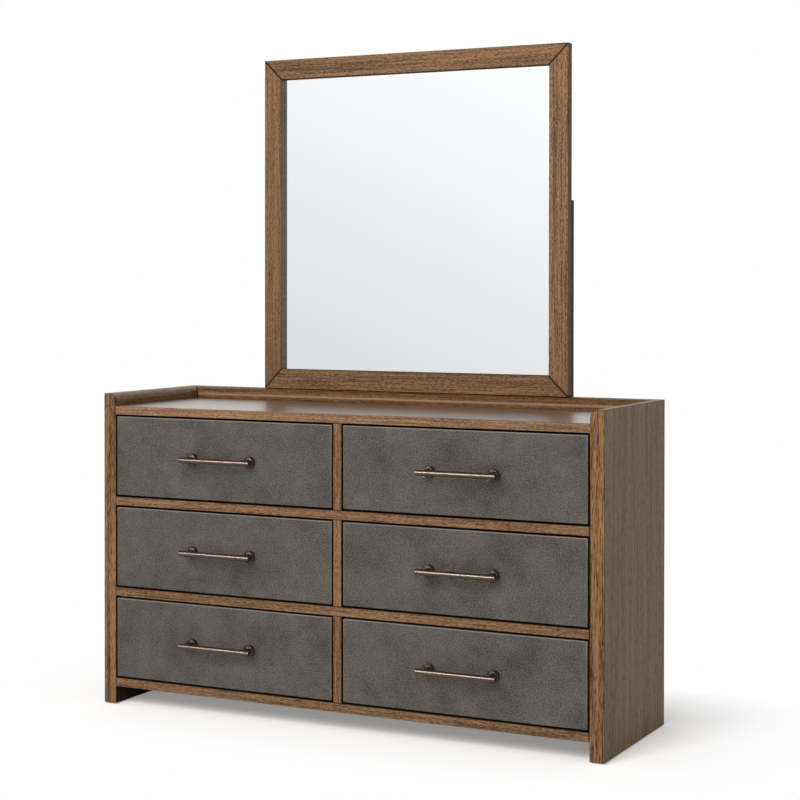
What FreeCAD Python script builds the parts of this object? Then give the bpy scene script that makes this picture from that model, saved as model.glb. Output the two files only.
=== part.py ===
"""Dresser with a fixed mirror: a low oak case with leather-wrapped drawers on telescopic slides.

X runs to the right, Y to the back and Z up, in millimetres. The origin is on the floor, in the middle of
the box that holds the whole object, from the front of the pulls to the screws behind the mirror supports.
"""
import FreeCAD, Part
import os
from types import SimpleNamespace
import Sketcher

# Driving sizes
driving_sizes = {
    # Case: side panels, top, gallery rail and front rails
    "case_width": 1575,
    "case_depth": 483,
    "case_height": 921,
    "panel_thick": 41,
    "gallery_thick": 41,
    "gallery_height": 36.5,
    "gallery_tongue": 3,
    "edge_round": 25,
    "top_thick": 25,
    "kick_height": 54,
    "rail_height": 25,
    "rail_depth": 60,
    "stile_width": 25,
    "bottom_thick": 12,
    "back_thick": 6,
    "rear_rail_thick": 25,
    "rear_rail_height": 110,
    "glide_diameter": 25,
    "glide_height": 3,
    "glide_inset": 45,
    # Drawers
    "reveal": 4,
    "front_thick": 20,
    "front_ease": 2,
    "box_lift": 22,
    "box_headroom": 35,
    "box_back_gap": 22,
    "box_board": 12,
    "drawer_bottom_thick": 6,
    "groove_lift": 12,
    "groove_depth": 6,
    # Telescopic slides
    "slide_space": 13,
    "slide_height": 45,
    "slide_wall": 1.5,
    "slide_play": 0.4,
    "slide_setback": 5,
    # Pulls and screws
    "bar_diameter": 16,
    "bar_length": 236,
    "bar_ease": 1.2,
    "pull_spacing": 192,
    "pull_standoff": 39.25,
    "post_diameter": 22,
    "rosette_diameter": 34,
    "rosette_thick": 12,
    "rosette_ease": 1.5,
    "screw_diameter": 4,
    "screw_head_diameter": 9,
    "screw_head_height": 2.4,
    "screw_bite": 10,
    "fit_play": 0.05,
    # Mirror and its supports
    "mirror_width": 1012,
    "mirror_height": 1018,
    "frame_face": 60,
    "frame_depth": 28,
    "glass_setback": 18,
    "glass_thick": 4,
    "glass_play": 0.8,
    "rabbet_width": 10,
    "backer_thick": 4,
    "support_width": 60,
    "support_thick": 18.5,
    "support_rise": 567,
    "support_drop": 180,
    "support_bite": 20,
    "support_screw_inset": 40,
    "support_screw_lift": 110,
}


class Size:
    """A length that follows the sheet: its value, and the expression that a property is bound to."""

    def __init__(self, expression, millimetres):
        self.expression = expression
        self.millimetres = millimetres

    def __str__(self):
        return self.expression

    def __float__(self):
        return float(self.millimetres)

    def __add__(self, other):
        return Size(f"({self} + {other})", float(self) + float(other))

    def __sub__(self, other):
        return Size(f"({self} - {other})", float(self) - float(other))

    def __mul__(self, factor):
        return Size(f"({self} * {factor})", float(self) * factor)

    def __truediv__(self, divisor):
        return Size(f"({self} / {divisor})", float(self) / divisor)

    def __neg__(self):
        return self * -1


doc = FreeCAD.newDocument("dresser_with_mirror")
sheet = doc.addObject("Spreadsheet::Sheet", "sizes")
size = SimpleNamespace()
for row, (name, millimetres) in enumerate(driving_sizes.items(), start=1):
    sheet.set(f"A{row}", name)
    sheet.set(f"B{row}", str(millimetres))
    sheet.setAlias(f"B{row}", name)
    setattr(size, name, Size(f"sizes.{name}", millimetres))
doc.recompute()
nodes = []

# Planes and spaces that the pieces share
case_left = -size.case_width / 2
inside_width = size.case_width - size.panel_thick * 2
inside_left = case_left + size.panel_thick
pull_reach = size.pull_standoff + size.bar_diameter / 2
object_depth = pull_reach + size.case_depth + size.support_thick + size.screw_head_height
case_front = pull_reach - object_depth / 2
case_back = case_front + size.case_depth
top_surface = size.case_height - size.gallery_height
top_underside = top_surface - size.top_thick
opening_width = (inside_width - size.stile_width) / 2
opening_height = (top_underside - size.kick_height - size.rail_height * 3) / 3
row_pitch = opening_height + size.rail_height
floor_level = size.kick_height + size.rail_height
back_inside = case_back - size.back_thick
rear_rail_front = back_inside - size.rear_rail_thick


def bind(piece, **lengths):
    """Bind properties of a piece to lengths."""
    for name, length in lengths.items():
        piece.setExpression(name, str(length))


def place(piece, x, y, z):
    """Bind the place of a piece's own origin."""
    for axis, length in zip("xyz", (x, y, z)):
        piece.setExpression(f"Placement.Base.{axis}", str(length))
    return piece


def node(piece):
    """Keep a finished piece as one sub-part of the object."""
    nodes.append(piece)
    return piece


def board(name, length, width, height, x, y, z):
    """Straight board with its low corner at x, y, z."""
    piece = doc.addObject("Part::Box", name)
    bind(piece, Length=length, Width=width, Height=height)
    return place(piece, x, y, z)


UPRIGHT = FreeCAD.Rotation()
TO_THE_FRONT = FreeCAD.Rotation(FreeCAD.Vector(1, 0, 0), 90)
TO_THE_RIGHT = FreeCAD.Rotation(FreeCAD.Vector(0, 1, 0), 90)


def rod(name, diameter, length, turn, x, y, z):
    """Round rod that starts at x, y, z and runs the way it is turned."""
    piece = doc.addObject("Part::Cylinder", name)
    bind(piece, Radius=diameter / 2, Height=length)
    piece.Placement = FreeCAD.Placement(FreeCAD.Vector(), turn)
    return place(piece, x, y, z)


def cut(name, base, tool):
    """Piece with the tool's shape taken out of it."""
    piece = doc.addObject("Part::Cut", name)
    piece.Base = base
    piece.Tool = tool
    return piece


def group(name, pieces):
    """Like pieces, each still a solid of its own, kept under one name."""
    piece = doc.addObject("Part::Compound", name)
    piece.Links = pieces
    return piece


def mirrored(name, source, normal, height):
    """The same piece turned over in an upright or level plane that passes through the given height."""
    piece = doc.addObject("Part::Mirroring", name)
    piece.Source = source
    piece.Normal = normal
    piece.setExpression("Base.z", str(height))
    return piece


def outline(body, name, plane, corners):
    """Closed straight-sided sketch on one of the body's own planes, its corners held from the origin."""
    sketch = body.newObject("Sketcher::SketchObject", name)
    planes = {feature.Role: feature for feature in body.Origin.OriginFeatures}
    sketch.AttachmentSupport = [(planes[plane], "")]
    sketch.MapMode = "FlatFace"
    points = [FreeCAD.Vector(float(across), float(up), 0) for across, up in corners]
    for start, end in zip(points, points[1:] + points[:1]):
        sketch.addGeometry(Part.LineSegment(start, end))
    for line in range(len(points)):
        sketch.addConstraint(Sketcher.Constraint("Coincident", line, 2, (line + 1) % len(points), 1))
    for line, (point, lengths) in enumerate(zip(points, corners)):
        for kind, start, length in zip(("DistanceX", "DistanceY"), (point.x, point.y), lengths):
            held = sketch.addConstraint(Sketcher.Constraint(kind, -1, 1, line, 1, start))
            sketch.setExpression(f"Constraints[{held}]", str(length))
    return sketch


def pad(body, name, sketch, thickness, reverse=False):
    """Give a sketch its thickness."""
    feature = body.newObject("PartDesign::Pad", name)
    feature.Profile = sketch
    feature.Reversed = reverse
    bind(feature, Length=thickness)
    return feature


def block(body, kind, name, length, width, height, x, y, z):
    """Box that is added to or taken out of a body."""
    feature = body.newObject(f"PartDesign::{kind}Box", name)
    bind(feature, Length=length, Width=width, Height=height)
    return place(feature, x, y, z)


def bore(body, name, diameter, length, turn, x, y, z):
    """Round hole in a body, from x, y, z the way it is turned."""
    feature = body.newObject("PartDesign::SubtractiveCylinder", name)
    bind(feature, Radius=diameter / 2, Height=length)
    feature.Placement = FreeCAD.Placement(FreeCAD.Vector(), turn)
    return place(feature, x, y, z)


def dress(body, kind, name, feature, wanted, **lengths):
    """Round or chamfer those edges of a feature whose ends are all wanted."""
    doc.recompute()
    edges = [
        f"Edge{number}"
        for number, edge in enumerate(feature.Shape.Edges, start=1)
        if all(wanted(vertex.Point) for vertex in edge.Vertexes)
    ]
    dressed = body.newObject(f"PartDesign::{kind}", name)
    dressed.Base = (feature, edges)
    bind(dressed, **lengths)
    return dressed


def near(number, length):
    """Whether a measured place lies at a length."""
    return abs(number - float(length)) < 1e-6


def screw(name, length, x, y, z):
    """Pan-head screw that points to the front, with the underside of its head at y."""
    shank = rod(f"{name}_shank", size.screw_diameter, length, TO_THE_FRONT, x, y, z)
    head = rod(f"{name}_head", size.screw_head_diameter, size.screw_head_height, TO_THE_FRONT,
               x, y + size.screw_head_height, z)
    piece = doc.addObject("Part::Fuse", name)
    piece.Base = head
    piece.Tool = shank
    return piece


screw_hole = size.screw_diameter + size.fit_play * 2


def drill(name, length, x, y, z):
    """Hole that such a screw runs in."""
    return rod(name, screw_hole, length, TO_THE_FRONT, x, y, z)


# Side panels: slabs from the glides up, inner top edge rounded, back corner mitred above the top panel
left_panel = doc.addObject("PartDesign::Body", "left_side_panel")
slab_height = top_surface - size.glide_height
block(left_panel, "Additive", "side_slab", size.panel_thick, size.case_depth, slab_height, 0, 0, 0)
lip_outline = outline(left_panel, "side_lip_outline", "XY_Plane", (
    (0, 0),
    (size.panel_thick, 0),
    (size.panel_thick, size.case_depth - size.gallery_thick),
    (0, size.case_depth),
))
lip_outline.setExpression("AttachmentOffset.Base.z", str(slab_height))
side_lip = pad(left_panel, "side_lip", lip_outline, size.gallery_height)
side_top = slab_height + size.gallery_height
dress(left_panel, "Fillet", "side_round", side_lip,
      lambda point: near(point.x, size.panel_thick) and near(point.z, side_top), Radius=size.edge_round)
place(left_panel, case_left, case_front, size.glide_height)
node(left_panel)
node(mirrored("right_side_panel", left_panel, FreeCAD.Vector(1, 0, 0), 0))

# Gallery rail: its tongue is let into the back of the top panel, front top edge rounded, ends mitred
gallery_front = case_back - size.gallery_thick
tongue_width = size.gallery_thick - size.back_thick
gallery_rail = doc.addObject("PartDesign::Body", "gallery_rail")
block(gallery_rail, "Additive", "gallery_tongue", inside_width, tongue_width, size.gallery_tongue,
      inside_left, 0, -size.gallery_tongue)
rail_plan = outline(gallery_rail, "gallery_plan", "XY_Plane", (
    (inside_left, 0),
    (-inside_left, 0),
    (-case_left, size.gallery_thick),
    (case_left, size.gallery_thick),
))
rail_pad = pad(gallery_rail, "gallery_pad", rail_plan, size.gallery_height)
dress(gallery_rail, "Fillet", "gallery_round", rail_pad,
      lambda point: near(point.y, 0) and near(point.z, size.gallery_height), Radius=size.edge_round)
place(gallery_rail, 0, gallery_front, top_surface)
node(gallery_rail)

# Top panel, front rails and centre stiles, all flush with the front edges of the side panels
top_board = board("top_board", inside_width, size.case_depth - size.back_thick, size.top_thick,
                  inside_left, case_front, top_underside)
tongue_housing = board("tongue_housing", inside_width, tongue_width, size.gallery_tongue,
                       inside_left, gallery_front, top_surface - size.gallery_tongue)
node(cut("top_panel", top_board, tongue_housing))
for count, name in enumerate(("bottom", "lower", "upper")):
    rail_floor = size.kick_height + row_pitch * count
    node(board(f"{name}_front_rail", inside_width, size.rail_depth, size.rail_height,
               inside_left, case_front, rail_floor))
for count, name in enumerate(("lower", "middle", "upper")):
    stile_floor = floor_level + row_pitch * count
    node(board(f"{name}_centre_stile", size.stile_width, size.rail_depth, opening_height,
               -size.stile_width / 2, case_front, stile_floor))

# Bottom panel and centre partition, behind the rails and stiles
behind_rails = case_front + size.rail_depth
node(board("bottom_panel", inside_width, back_inside - behind_rails, size.bottom_thick,
           inside_left, behind_rails, floor_level - size.bottom_thick))
node(board("centre_partition", size.stile_width, rear_rail_front - behind_rails,
           top_underside - floor_level, -size.stile_width / 2, behind_rails, floor_level))

# Floor glides, one near each end of both side panels
glide_across = size.case_width / 2 - size.panel_thick / 2
node(group("floor_glides", [
    rod(f"{end}_{side}_glide", size.glide_diameter, size.glide_height, UPRIGHT, across, along, 0)
    for side, across in (("left", -glide_across), ("right", glide_across))
    for end, along in (("front", case_front + size.glide_inset), ("back", case_back - size.glide_inset))
]))

# Support screws: two into each side of the mirror frame, two into the rear top rail
support_length = size.support_thick + size.support_bite
support_back = case_back + size.support_thick
support_top = size.case_height + size.support_rise
support_axis = size.mirror_width / 2 - size.support_width / 2
screw_heights = {
    "top": support_top - size.support_screw_inset,
    "frame": size.case_height + size.support_screw_lift,
    "rail": top_underside - size.rear_rail_height / 4,
    "low": top_underside - size.rear_rail_height * 3 / 4,
}
screw_places = [
    (f"{level}_{side}", across, height)
    for side, across in (("left", -support_axis), ("right", support_axis))
    for level, height in screw_heights.items()
]
node(group("support_screws", [
    screw(f"{name}_screw", support_length, across, support_back, height)
    for name, across, height in screw_places
]))
support_drills = group("support_drills", [
    drill(f"{name}_drill", support_length, across, support_back, height)
    for name, across, height in screw_places
])

# Back panel, rear top rail and mirror supports, drilled for those screws
back_floor = floor_level - size.bottom_thick
back_board = board("back_board", inside_width, size.back_thick, top_surface - back_floor,
                   inside_left, back_inside, back_floor)
node(cut("back_panel", back_board, support_drills))
rear_board = board("rear_board", inside_width, size.rear_rail_thick, size.rear_rail_height,
                   inside_left, rear_rail_front, top_underside - size.rear_rail_height)
node(cut("rear_top_rail", rear_board, support_drills))
support_foot = size.case_height - size.support_drop
supports = []
for side, across in (("left", -support_axis), ("right", support_axis)):
    batten = board(f"{side}_batten", size.support_width, size.support_thick, support_top - support_foot,
                   across - size.support_width / 2, case_back, support_foot)
    supports.append(cut(f"{side}_support", batten, support_drills))
node(group("mirror_supports", supports))

# Mirror frame: four mitred members with a rabbet behind, standing on the gallery rail
frame_left = -size.mirror_width / 2
frame_front = case_back - size.frame_depth
rabbet_depth = size.frame_depth - size.glass_setback
rabbet_edge = size.frame_face - size.rabbet_width
side_body = doc.addObject("PartDesign::Body", "left_frame_side")
side_outline = outline(side_body, "frame_side_outline", "XZ_Plane", (
    (0, 0),
    (size.frame_face, size.frame_face),
    (size.frame_face, size.mirror_height - size.frame_face),
    (0, size.mirror_height),
))
pad(side_body, "frame_side_pad", side_outline, size.frame_depth, reverse=True)
block(side_body, "Subtractive", "frame_side_rabbet", size.rabbet_width, rabbet_depth, size.mirror_height,
      rabbet_edge, size.glass_setback, 0)
place(side_body, frame_left, frame_front, size.case_height)
left_member = node(cut("mirror_left_member", side_body, support_drills))
node(mirrored("mirror_right_member", left_member, FreeCAD.Vector(1, 0, 0), 0))

bottom_member = doc.addObject("PartDesign::Body", "mirror_bottom_member")
bottom_outline = outline(bottom_member, "frame_bottom_outline", "XZ_Plane", (
    (0, 0),
    (size.mirror_width, 0),
    (size.mirror_width - size.frame_face, size.frame_face),
    (size.frame_face, size.frame_face),
))
pad(bottom_member, "frame_bottom_pad", bottom_outline, size.frame_depth, reverse=True)
block(bottom_member, "Subtractive", "frame_bottom_rabbet", size.mirror_width, rabbet_depth,
      size.rabbet_width, 0, size.glass_setback, rabbet_edge)
place(bottom_member, frame_left, frame_front, size.case_height)
node(bottom_member)
mirror_middle = size.case_height + size.mirror_height / 2
node(mirrored("mirror_top_member", bottom_member, FreeCAD.Vector(0, 0, 1), mirror_middle))

# Mirror glass and its backer, in the rabbet
glass_edge = rabbet_edge + size.glass_play
glass_front = frame_front + size.glass_setback
glass_width = size.mirror_width - glass_edge * 2
glass_height = size.mirror_height - glass_edge * 2
glass_left = frame_left + glass_edge
glass_floor = size.case_height + glass_edge
node(board("mirror_glass", glass_width, size.glass_thick, glass_height,
           glass_left, glass_front, glass_floor))
node(board("mirror_backer", glass_width, size.backer_thick, glass_height,
           glass_left, glass_front + size.glass_thick, glass_floor))

# Drawers: wrapped front, box with a grooved-in bottom, pull, and a telescopic slide on each side
front_width = opening_width - size.reveal * 2
front_height = opening_height - size.reveal * 2
box_width = opening_width - size.slide_space * 2
box_height = opening_height - size.box_lift - size.box_headroom
box_front = case_front + size.front_thick
box_depth = rear_rail_front - size.box_back_gap - box_front
pull_screw_length = size.box_board + size.front_thick + size.screw_bite
pull_screw_seat = box_front + size.box_board
slide_step = size.slide_wall + size.slide_play
slide_depth = size.slide_space - slide_step * 2
slide_length = box_depth - size.slide_setback * 2


def drawer_front(name, left, floor, pull_places):
    """Flat front with eased front edges, bored for the pull's screws."""
    body = doc.addObject("PartDesign::Body", f"{name}_drawer_front")
    slab = block(body, "Additive", f"{name}_front_slab", front_width, size.front_thick, front_height,
                 0, 0, 0)
    dress(body, "Fillet", f"{name}_front_ease", slab,
          lambda point: near(point.y, 0), Radius=size.front_ease)
    for side, across in pull_places:
        bore(body, f"{name}_{side}_front_bore", screw_hole, size.front_thick, TO_THE_FRONT,
             across - left, size.front_thick, front_height / 2)
    return place(body, left, case_front, floor)


def drawer_box(name, left, floor, bottom, pull_drills):
    """Two sides and a sub-front, grooved for the bottom, and a back that stands on it."""
    inner_left = left + size.box_board
    inner_width = box_width - size.box_board * 2
    back_lift = size.groove_lift + size.drawer_bottom_thick
    pieces = []
    for side, across in (("left", left), ("right", left + box_width - size.box_board)):
        plank = board(f"{name}_{side}_plank", size.box_board, box_depth, box_height,
                      across, box_front, floor)
        pieces.append(cut(f"{name}_{side}_box_side", plank, bottom))
    plank = board(f"{name}_front_plank", inner_width, size.box_board, box_height,
                  inner_left, box_front, floor)
    grooved = cut(f"{name}_grooved_plank", plank, bottom)
    pieces.append(cut(f"{name}_sub_front", grooved, pull_drills))
    pieces.append(board(f"{name}_box_back", inner_width, size.box_board, box_height - back_lift,
                        inner_left, box_front + box_depth - size.box_board, floor + back_lift))
    return group(f"{name}_drawer_box", pieces)


def pull_bar(name, across, height):
    """Round bar with eased ends, level in front of the drawer."""
    body = doc.addObject("PartDesign::Body", f"{name}_bar")
    stock = body.newObject("PartDesign::AdditiveCylinder", f"{name}_bar_stock")
    bind(stock, Radius=size.bar_diameter / 2, Height=size.bar_length)
    dress(body, "Chamfer", f"{name}_bar_ease", stock,
          lambda point: near(point.z, 0) or near(point.z, size.bar_length), Size=size.bar_ease)
    body.Placement = FreeCAD.Placement(FreeCAD.Vector(), TO_THE_RIGHT)
    return place(body, across - size.bar_length / 2, case_front - size.pull_standoff, height)


def pull_post(name, across, height):
    """Turned post with a thick rosette, hollowed at its end to seat the bar, tapped for its screw."""
    body = doc.addObject("PartDesign::Body", f"{name}_post")
    profile = outline(body, f"{name}_post_profile", "XY_Plane", (
        (0, 0),
        (size.rosette_diameter / 2, 0),
        (size.rosette_diameter / 2, size.rosette_ease - size.rosette_thick),
        (size.rosette_diameter / 2 - size.rosette_ease, -size.rosette_thick),
        (size.post_diameter / 2, -size.rosette_thick),
        (size.post_diameter / 2, -size.pull_standoff),
        (0, -size.pull_standoff),
    ))
    turned = body.newObject("PartDesign::Revolution", f"{name}_post_turned")
    turned.Profile = profile
    turned.ReferenceAxis = (profile, ["V_Axis"])
    turned.Angle = 360
    bore(body, f"{name}_bar_seat", size.bar_diameter + size.fit_play * 2, size.post_diameter, TO_THE_RIGHT,
         -size.post_diameter / 2, -size.pull_standoff, 0)
    bore(body, f"{name}_thread", screw_hole, size.screw_bite, TO_THE_FRONT, 0, 0, 0)
    return place(body, across, case_front, height)


def channel(name, height, left, level, web_left):
    """Slide member: a long channel whose web is on its left or its right."""
    stock = board(f"{name}_stock", slide_depth, slide_length, height,
                  left, box_front + size.slide_setback, level - height / 2)
    hollow_left = left + size.slide_wall if web_left else left
    hollow_height = height - size.slide_wall * 2
    hollow = board(f"{name}_hollow", slide_depth - size.slide_wall, slide_length, hollow_height,
                   hollow_left, box_front + size.slide_setback, level - hollow_height / 2)
    return cut(name, stock, hollow)


def slides(name, opening_left, level):
    """Cabinet, intermediate and drawer members of both slides, nested with running play."""
    opening_right = opening_left + opening_width
    members = {"cabinet": [], "intermediate": [], "drawer": []}
    for step, kind in enumerate(members):
        height = size.slide_height - slide_step * 2 * step
        web_outside = kind != "drawer"
        from_left = opening_left + slide_step * step
        from_right = opening_right - slide_step * step - slide_depth
        members[kind] = [
            channel(f"{name}_left_{kind}_member", height, from_left, level, web_outside),
            channel(f"{name}_right_{kind}_member", height, from_right, level, not web_outside),
        ]
    return members


cabinet_members = []
for count, row in enumerate(("lower", "middle", "upper")):
    for side, opening_left in (("left", inside_left), ("right", size.stile_width / 2)):
        name = f"{row}_{side}"
        opening_floor = floor_level + row_pitch * count
        middle = opening_left + opening_width / 2
        pull_height = opening_floor + opening_height / 2
        pull_places = (("left", middle - size.pull_spacing / 2), ("right", middle + size.pull_spacing / 2))
        box_left = opening_left + size.slide_space
        box_floor = opening_floor + size.box_lift

        pull_drills = group(f"{name}_pull_drills", [
            drill(f"{name}_{end}_pull_drill", pull_screw_length, across, pull_screw_seat, pull_height)
            for end, across in pull_places
        ])
        node(drawer_front(name, opening_left + size.reveal, opening_floor + size.reveal, pull_places))
        bottom = node(board(
            f"{name}_drawer_bottom",
            box_width - (size.box_board - size.groove_depth) * 2,
            box_depth - size.box_board + size.groove_depth,
            size.drawer_bottom_thick,
            box_left + size.box_board - size.groove_depth,
            box_front + size.box_board - size.groove_depth,
            box_floor + size.groove_lift,
        ))
        node(drawer_box(name, box_left, box_floor, bottom, pull_drills))

        pull = [pull_bar(name, middle, pull_height)]
        for end, across in pull_places:
            pull.append(pull_post(f"{name}_{end}", across, pull_height))
            pull.append(screw(f"{name}_{end}_pull_screw", pull_screw_length,
                              across, pull_screw_seat, pull_height))
        node(group(f"{name}_pull", pull))

        members = slides(name, opening_left, box_floor + box_height / 2)
        cabinet_members += members["cabinet"]
        node(group(f"{name}_intermediate_members", members["intermediate"]))
        node(group(f"{name}_drawer_members", members["drawer"]))
node(group("cabinet_members", cabinet_members))

# Every object is up to date and every sub-part is a sound shape before anything is written
doc.recompute()
for piece in doc.Objects:
    if "Invalid" in piece.State or "Error" in piece.State:
        raise RuntimeError(f"{piece.Label} failed: {piece.State}")
for piece in nodes:
    if piece.Shape.isNull() or not piece.Shape.isValid() or not piece.Shape.Solids:
        raise RuntimeError(f"{piece.Label} is not a sound solid")

os.makedirs("parts", exist_ok=True)
for piece in nodes:
    piece.Shape.exportStep(f"parts/{piece.Label}.step")
print(len(nodes), "nodes,", sum(len(piece.Shape.Solids) for piece in nodes), "solids")
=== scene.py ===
import math

import bpy
import numpy as np
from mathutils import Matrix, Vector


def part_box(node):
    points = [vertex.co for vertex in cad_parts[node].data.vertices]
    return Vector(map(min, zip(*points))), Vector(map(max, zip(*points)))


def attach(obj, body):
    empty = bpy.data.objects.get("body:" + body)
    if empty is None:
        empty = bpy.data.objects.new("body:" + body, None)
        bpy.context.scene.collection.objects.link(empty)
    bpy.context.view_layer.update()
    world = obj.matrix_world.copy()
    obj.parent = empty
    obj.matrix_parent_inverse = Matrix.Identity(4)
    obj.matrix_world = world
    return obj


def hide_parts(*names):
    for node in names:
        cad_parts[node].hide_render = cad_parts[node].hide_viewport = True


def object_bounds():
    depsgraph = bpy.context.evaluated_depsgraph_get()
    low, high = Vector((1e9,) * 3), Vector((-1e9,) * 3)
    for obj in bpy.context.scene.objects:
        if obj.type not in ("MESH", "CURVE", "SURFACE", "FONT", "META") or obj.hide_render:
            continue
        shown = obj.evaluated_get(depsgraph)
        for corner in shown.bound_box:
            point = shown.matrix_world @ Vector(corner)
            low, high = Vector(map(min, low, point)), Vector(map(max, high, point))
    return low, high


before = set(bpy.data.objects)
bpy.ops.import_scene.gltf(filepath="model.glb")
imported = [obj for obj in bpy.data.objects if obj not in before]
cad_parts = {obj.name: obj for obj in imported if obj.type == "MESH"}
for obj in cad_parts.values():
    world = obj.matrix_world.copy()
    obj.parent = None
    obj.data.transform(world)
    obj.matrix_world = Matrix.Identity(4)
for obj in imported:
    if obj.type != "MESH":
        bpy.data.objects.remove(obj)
cad_low, cad_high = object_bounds()


# Side panels: oak slabs that stand on the floor and carry every other piece of the case. Their outer
# faces take a slightly greyer tone, partly veneer and partly a painted sheen, and their inner faces are
# painted dark as shade inside the openings. A lipping along the inner top edge is worked to a large
# round and mitred to the gallery rail at the back.

def box_of(node):
    """Lowest and highest corner of a CAD node."""
    return tuple(np.array(corner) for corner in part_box(node))


def rounded_outline(corners, radii, steps=4):
    """Closed outline of a polygon with rounded corners, and its outward normals.

    The polygon runs anticlockwise. At each corner the normal turns from one edge's normal to the next
    one's, and the arc is its centre plus the radius times that normal, with a negative radius in a
    hollow corner. Drawn in by any distance, the outline is the same points less that distance times the
    normals.
    """
    corners = np.asarray(corners, float)
    edges = np.roll(corners, -1, axis=0) - corners
    after = np.stack((edges[:, 1], -edges[:, 0]), axis=1) / np.linalg.norm(edges, axis=1)[:, None]
    before = np.roll(after, 1, axis=0)
    cosine = (before * after).sum(axis=1)
    turn = np.arctan2(before[:, 0] * after[:, 1] - before[:, 1] * after[:, 0], cosine)
    radius = np.sign(turn) * radii
    centres = corners - (radius / (1 + cosine))[:, None] * (before + after)
    first = np.arctan2(before[:, 1], before[:, 0])
    angles = first[:, None] + turn[:, None] * np.linspace(0, 1, steps + 1)
    normals = np.stack((np.cos(angles), np.sin(angles)), axis=-1)
    points = centres[:, None] + radius[:, None, None] * normals
    return points.reshape(-1, 2), normals.reshape(-1, 2)


def eased_bar(outline, along, start, end, ease, steps=3):
    """Skin of a bar: an outline carried along an axis, with a small quarter round at each end.

    At an angle of that round the outline is drawn in by ease * (1 - cosine) and stands ease * (1 - sine)
    short of the end. Either end is a number, or for a mitre a function of the outline's two coordinates.
    """
    points, normals = outline
    angle = np.linspace(0, math.pi / 2, steps + 1)[:, None]
    section = points - (ease * (1 - np.cos(angle)))[..., None] * normals
    short = ease * (1 - np.sin(angle))
    first = (start(section[..., 0], section[..., 1]) if callable(start) else start) + short
    last = (end(section[..., 0], section[..., 1]) if callable(end) else end) - short
    both_ends = np.concatenate((section[::-1], section))
    rings = np.empty((2 * (steps + 1), len(points), 3))
    rings[..., (along + 1) % 3] = both_ends[..., 0]
    rings[..., (along + 2) % 3] = both_ends[..., 1]
    rings[: steps + 1, :, along] = first[::-1]
    rings[steps + 1 :, :, along] = last
    return rings, along, along


grain_shift = np.random.default_rng(11)
log_reach = 4.0


def make_piece(name, skins, finish):
    """Object made of closed skins. A skin is a grid of rings, the axis they follow, and the grain's axis.

    Quads join each ring to the next, and one flat face closes each end. A vertex normal is the sum of
    the normals of the faces round it, weighted by area, so flats stay flat beside a narrow round. The
    grain attribute is the place in the board, lengthways first, shifted for each board as if it were cut
    from another place in the log. The next two are the distances to the board's low and high sides, and
    along the rings to its first and last ring. The last one holds those two distances along the rings
    again, taken square to a cut at 45 degrees.
    """
    mitre_share = math.sqrt(0.5)
    points, faces, normals = [], [], []
    attributes = {"grain": [], "to_low": [], "to_high": [], "to_ends": []}
    start = 0
    for rings, run, along in skins:
        stations, around = rings.shape[:2]
        index = start + np.arange(stations * around).reshape(stations, around)
        beside = np.roll(index, -1, axis=1)
        quads = np.stack((index[:-1], beside[:-1], beside[1:], index[1:]), axis=-1)
        faces += quads.reshape(-1, 4).tolist() + [index[0, ::-1].tolist(), index[-1].tolist()]
        start += stations * around

        next_point = np.roll(rings, -1, axis=1)
        facing = np.cross(next_point[1:] - rings[:-1], rings[1:] - next_point[:-1])
        facing = facing + np.roll(facing, 1, axis=1)
        total = np.zeros_like(rings)
        total[:-1] += facing
        total[1:] += facing
        total[0] -= np.cross(rings[0], next_point[0]).sum(axis=0)
        total[-1] += np.cross(rings[-1], next_point[-1]).sum(axis=0)
        normals.append((total / np.linalg.norm(total, axis=-1, keepdims=True)).reshape(-1, 3))

        to_low = rings - rings.min(axis=(0, 1))
        to_high = rings.max(axis=(0, 1)) - rings
        to_low[..., run] = np.abs(rings[..., run] - rings[0, :, run])
        to_high[..., run] = np.abs(rings[..., run] - rings[-1, :, run])
        to_ends = np.stack((to_low[..., run], to_high[..., run], np.zeros((stations, around))), axis=-1)
        order = (along, (along + 1) % 3, (along + 2) % 3)
        points.append(rings.reshape(-1, 3))
        attributes["grain"].append(rings[..., order] + grain_shift.uniform(-log_reach, log_reach, 3))
        attributes["to_low"].append(to_low)
        attributes["to_high"].append(to_high)
        attributes["to_ends"].append(mitre_share * to_ends)

    mesh = bpy.data.meshes.new(name)
    mesh.from_pydata(np.concatenate(points), [], faces)
    mesh.polygons.foreach_set("use_smooth", np.ones(len(faces), bool))
    mesh.normals_split_custom_set_from_vertices(np.concatenate(normals))
    for label, grids in attributes.items():
        attribute = mesh.attributes.new(label, "FLOAT_VECTOR", "POINT")
        attribute.data.foreach_set("vector", np.concatenate([grid.ravel() for grid in grids]))
    mesh.materials.append(finish)
    made = bpy.data.objects.new(name, mesh)
    bpy.context.scene.collection.objects.link(made)
    return made


def mirrored(skin, axis=0, middle=0.0):
    """The same skin across a plane, its rings in the other order so that it still faces outwards."""
    rings, run, along = skin
    turned_over = rings[::-1].copy()
    turned_over[..., axis] = 2 * middle - turned_over[..., axis]
    return turned_over, run, along


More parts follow.
